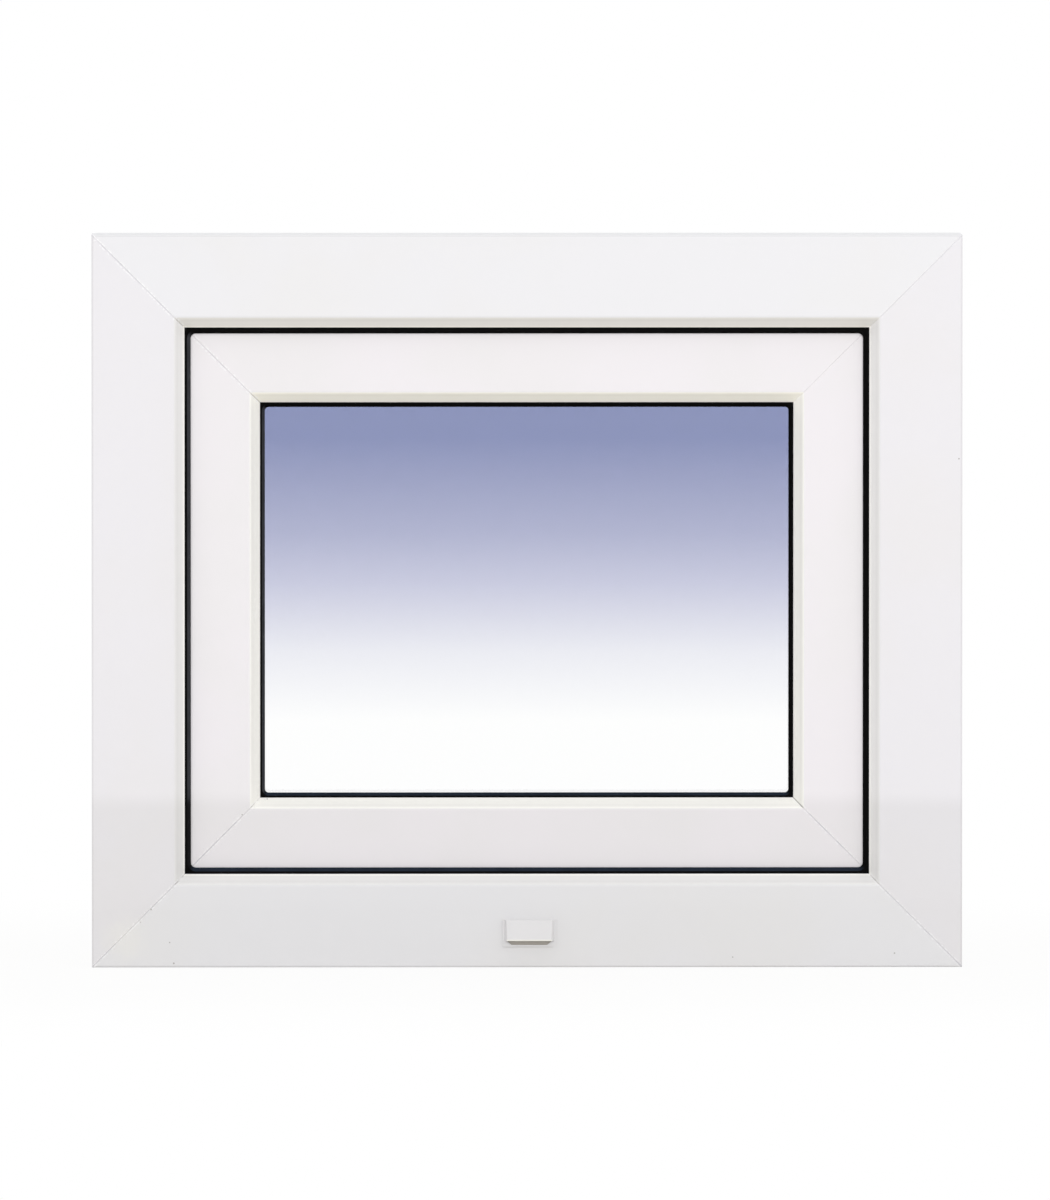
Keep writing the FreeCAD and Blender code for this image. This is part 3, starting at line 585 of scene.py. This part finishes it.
def clear_glass(name, tint):
    return Finish(name).surface({
        "Base Color": tint, "Roughness": 0.0, "IOR": 1.5, "Transmission Weight": 1.0})


def tinted_glass(name, settings):
    """Clear float glass with a painted sky reflection: a pale blue tint that fades towards the sill."""
    finish = Finish(name)
    height = finish.split(finish.point())[2]
    drop = (GLASS_HIGH.z - height) / (GLASS_HIGH.z - GLASS_LOW.z)
    top = Vector(settings.top)
    middle = Vector(settings.middle)
    clear = Vector((1.0, 1.0, 1.0))
    # Painted sky reflection: blue at the top, fading to clear
    stops = [
        (settings.fade * 0.17, top),
        (settings.fade * 0.45, top.lerp(middle, 0.55)),
        (settings.fade * 0.6, middle),
        (settings.fade * 0.8, middle.lerp(clear, 0.63)),
        (settings.fade, clear),
    ]
    return finish.surface({
        "Base Color": finish.ramp(drop, stops), "Roughness": 0.0, "IOR": 1.5, "Transmission Weight": 1.0})


def moulded_plastic(name, settings):
    """White moulded plastic of the drain cap: a fine texture and a painted highlight along the hood's lower
    edge.
    """
    finish = Finish(name)
    point = finish.point()
    _, y, z = finish.split(point)
    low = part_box("drain_cap")[0]
    clouds = finish.noise(point, 40.0, 2.0)
    # Painted highlight along the hood's lower edge
    worn_and_highlit = finish.band(z, *[low.z + height for height in HOOD_HIGHLIGHT_BAND])
    worn_and_highlit = worn_and_highlit * finish.fade(y, low.y + 0.0006, low.y + 0.0016)
    shade = finish.mix(clouds * 0.3, settings.cap, darker(settings.cap, 0.95))
    return finish.surface({
        "Base Color": finish.mix(worn_and_highlit, shade, settings.cap_edge_highlight),
        "Roughness": settings.cap_roughness + (clouds - 0.5) * 0.08,
        "Normal": finish.bump(finish.noise(point, 1500.0, 2.0), 0.00003)})


def powder_coat(name, colour, roughness):
    """White powder coat with its slight orange peel."""
    finish = Finish(name)
    point = finish.point()
    clouds = finish.noise(point, 30.0, 2.0)
    return finish.surface({
        "Base Color": finish.mix(clouds * 0.3, colour, darker(colour, 0.96)),
        "Roughness": roughness + (clouds - 0.5) * 0.08,
        "Normal": finish.bump(finish.noise(point, 700.0, 1.0), 0.00005),
        "Coat Weight": 0.1, "Coat Roughness": 0.15})


def lined_metal(name, grain, dark, bright, smoothest, roughest):
    """Bright metal with fine lines, close together along the axis where the grain is largest."""
    finish = Finish(name)
    lines = finish.noise(finish.stretch(finish.point(), grain), 1.0, 2.0)
    return finish.surface({
        "Base Color": finish.mix(lines, dark, bright), "Metallic": 1.0,
        "Roughness": lines * (roughest - smoothest) + smoothest,
        "Normal": finish.bump(lines, 0.00002)})


def seen_by_eye(finish):
    """1 for what the eye sees, also through glass and in a gloss, 0 for plain light."""
    rays = finish.node("ShaderNodeLightPath", output="Is Camera Ray")
    outputs = rays.socket.node.outputs
    gloss = Value(finish, outputs["Is Glossy Ray"])
    through = Value(finish, outputs["Is Transmission Ray"])
    return rays.most(gloss).most(through)


def white_backdrop(studio):
    """White world for the eye, glass and gloss, and a plain sky light for everything else."""
    finish = Finish("white_backdrop", "worlds")
    sky = finish.node(
        "ShaderNodeBackground", inputs={"Color": opaque(studio.sky), "Strength": studio.ambient})
    white = finish.node("ShaderNodeBackground", inputs={"Color": (1, 1, 1, 1), "Strength": 1.0})
    shown = finish.node("ShaderNodeMixShader", inputs={0: seen_by_eye(finish), 1: sky, 2: white})
    bpy.context.scene.world = finish.output(shown, "ShaderNodeOutputWorld")


def pale_floor(studio):
    """Plain floor that reads as white and keeps the window's shadow."""
    half = studio.floor / 2
    corners = [(-half, -half, 0), (half, -half, 0), (half, half, 0), (-half, half, 0)]
    mesh = bpy.data.meshes.new("floor")
    mesh.from_pydata(corners, [], [(0, 1, 2, 3)])
    floor = bpy.data.objects.new("floor", mesh)
    bpy.context.scene.collection.objects.link(floor)
    finish = Finish("pale_floor")
    x, y, _ = finish.split(finish.point())
    plain = finish.smooth((x ** 2 + y ** 2) ** 0.5, 0.35, 1.0)
    lit = finish.node("ShaderNodeBsdfDiffuse", inputs={"Color": opaque(studio.floor_colour)})
    white = finish.node("ShaderNodeEmission", inputs={"Color": (1, 1, 1, 1), "Strength": 1.0})
    seen = seen_by_eye(finish) * (plain * 0.08 + 0.92)
    shown = finish.node("ShaderNodeMixShader", inputs={0: seen, 1: lit, 2: white})
    mesh.materials.append(finish.output(shown))


def aim(thing, target):
    """Turns a lamp or camera so that it looks at a point."""
    direction = Vector(target) - thing.location
    thing.rotation_euler = direction.to_track_quat("-Z", "Y").to_euler()


def lamp(name, place, size, strength, colour):
    """Soft rectangular lamp that faces the window."""
    data = bpy.data.lights.new(name, "AREA")
    data.shape = "RECTANGLE"
    data.size, data.size_y = size
    data.energy = strength
    data.color = colour
    made = bpy.data.objects.new(name, data)
    made.location = place
    bpy.context.scene.collection.objects.link(made)
    aim(made, FRAME_CENTRE)


def place_camera(studio):
    """Long lens in front of the outside face, a little above and to the left."""
    pixel = FRAME_SIZE.x / FRAME_PIXELS
    off_centre = Vector((OFF_CENTRE_ACROSS * pixel, 0, OFF_CENTRE_UP * pixel))
    target = Vector((FRAME_CENTRE.x, FRAME_LOW.y, FRAME_CENTRE.z)) + off_centre
    data = bpy.data.cameras.new("camera")
    data.lens = data.sensor_width * studio.distance / (max(IMAGE_WIDTH, IMAGE_HEIGHT) * pixel)
    data.clip_end = 100.0
    camera = bpy.data.objects.new("camera", data)
    level = math.cos(studio.elevation)
    camera.location = target + studio.distance * Vector((
        math.sin(studio.azimuth) * level, -math.cos(studio.azimuth) * level, math.sin(studio.elevation)))
    bpy.context.scene.collection.objects.link(camera)
    aim(camera, target)
    bpy.context.scene.camera = camera


class FinishProfiles(bpy.types.Operator):
    """Give the frame, the sash and the glazing beads their white plastic"""

    bl_idname = "window.finish_profiles"
    bl_label = "Profiles"

    def execute(self, context):
        settings = context.scene.window_profiles
        for way, upright in (("level", False), ("upright", True)):
            for part, bars in (("frame", FRAME_BARS), ("sash", SASH_BARS)):
                material = bar_plastic(f"{part}_plastic_{way}", settings, upright, part)
                dress([bar for bar in bars if is_upright(bar) == upright], material)
            material = bead_plastic(f"bead_plastic_{way}", settings, upright)
            dress([bead for bead in BEAD_BARS if is_upright(bead) == upright], material)
        return {"FINISHED"}


class FinishSeals(bpy.types.Operator):
    """Give the seals their black rubber"""

    bl_idname = "window.finish_seals"
    bl_label = "Seals"

    def execute(self, context):
        dress(SEALS, black_rubber("black_rubber", context.scene.window_seals))
        return {"FINISHED"}


class FinishGlazing(bpy.types.Operator):
    """Give the panes, the spacer bar and its edge seal their finishes"""

    bl_idname = "window.finish_glazing"
    bl_label = "Glazing"

    def execute(self, context):
        glass = context.scene.window_glass
        # Outer pane with a painted sky reflection
        dress(["outer_pane"], tinted_glass("tinted_glass", glass))
        dress(["inner_pane"], clear_glass("clear_glass", glass.inner))
        grain = (40.0, 2400.0, 40.0)
        spacer = lined_metal(
            "brushed_aluminium", grain, glass.spacer_dark, glass.spacer_bright, 0.32, 0.44)
        dress(["pane_spacer"], spacer)
        dress(["edge_seal"], black_rubber("edge_sealant", context.scene.window_seals))
        return {"FINISHED"}


class FinishDrainCap(bpy.types.Operator):
    """Give the drain cap its moulded plastic"""

    bl_idname = "window.finish_drain_cap"
    bl_label = "Drain cap"

    def execute(self, context):
        dress(["drain_cap"], moulded_plastic("cap_plastic", context.scene.window_fittings))
        return {"FINISHED"}


class FinishHandle(bpy.types.Operator):
    """Give the handle its white coat"""

    bl_idname = "window.finish_handle"
    bl_label = "Handle"

    def execute(self, context):
        fittings = context.scene.window_fittings
        dress(HANDLE_PIECES, powder_coat("handle_coat", fittings.handle, fittings.coat_roughness))
        return {"FINISHED"}


class FinishHinges(bpy.types.Operator):
    """Give the hinges their white coat and the pins their zinc"""

    bl_idname = "window.finish_hinges"
    bl_label = "Hinges"

    def execute(self, context):
        fittings = context.scene.window_fittings
        dress(HINGE_PIECES, powder_coat("hinge_coat", fittings.hinge, fittings.coat_roughness))
        grain = (60.0, 60.0, 2600.0)
        zinc = lined_metal("zinc_plate", grain, fittings.zinc_dark, fittings.zinc_bright, 0.26, 0.4)
        dress(HINGE_PINS, zinc)
        return {"FINISHED"}


class BuildStage(bpy.types.Operator):
    """Set up the floor, the white background, the lamps and the camera"""

    bl_idname = "window.build_stage"
    bl_label = "Stage"

    def execute(self, context):
        studio = context.scene.window_studio
        context.scene.view_settings.view_transform = "Standard"
        white_backdrop(studio)
        pale_floor(studio)
        for name, (place, size, colour) in LAMPS.items():
            lamp(f"{name}_lamp", place, size, getattr(studio, name), colour)
        place_camera(studio)
        return {"FINISHED"}


class WindowPanel(bpy.types.Panel):
    """Lists the window's pieces, its sizes and colours, and the studio"""

    bl_idname = "VIEW3D_PT_tilt_turn_window"
    bl_label = "Tilt and turn window"
    bl_space_type = "VIEW_3D"
    bl_region_type = "UI"
    bl_category = "Window"

    def draw(self, context):
        for operator in OPERATORS:
            self.layout.operator(operator.bl_idname)
        for name, group in SETTINGS.items():
            box = self.layout.box()
            values = getattr(context.scene, name)
            for key in group.__annotations__:
                box.prop(values, key)


SETTINGS = {
    "window_profiles": ProfileSettings,
    "window_seals": SealSettings,
    "window_glass": GlassSettings,
    "window_fittings": FittingSettings,
    "window_studio": StudioSettings,
}
OPERATORS = (
    FinishProfiles,
    FinishSeals,
    FinishGlazing,
    FinishDrainCap,
    FinishHandle,
    FinishHinges,
    BuildStage,
)


def register():
    for name, group in SETTINGS.items():
        bpy.utils.register_class(group)
        setattr(bpy.types.Scene, name, PointerProperty(type=group))
    for operator in OPERATORS:
        bpy.utils.register_class(operator)
    bpy.utils.register_class(WindowPanel)


def unregister():
    bpy.utils.unregister_class(WindowPanel)
    for operator in reversed(OPERATORS):
        bpy.utils.unregister_class(operator)
    for name, group in SETTINGS.items():
        delattr(bpy.types.Scene, name)
        bpy.utils.unregister_class(group)


def main():
    register()
    for operator in OPERATORS:
        group, name = operator.bl_idname.split(".")
        getattr(getattr(bpy.ops, group), name)()


if __name__ == "__main__":
    main()
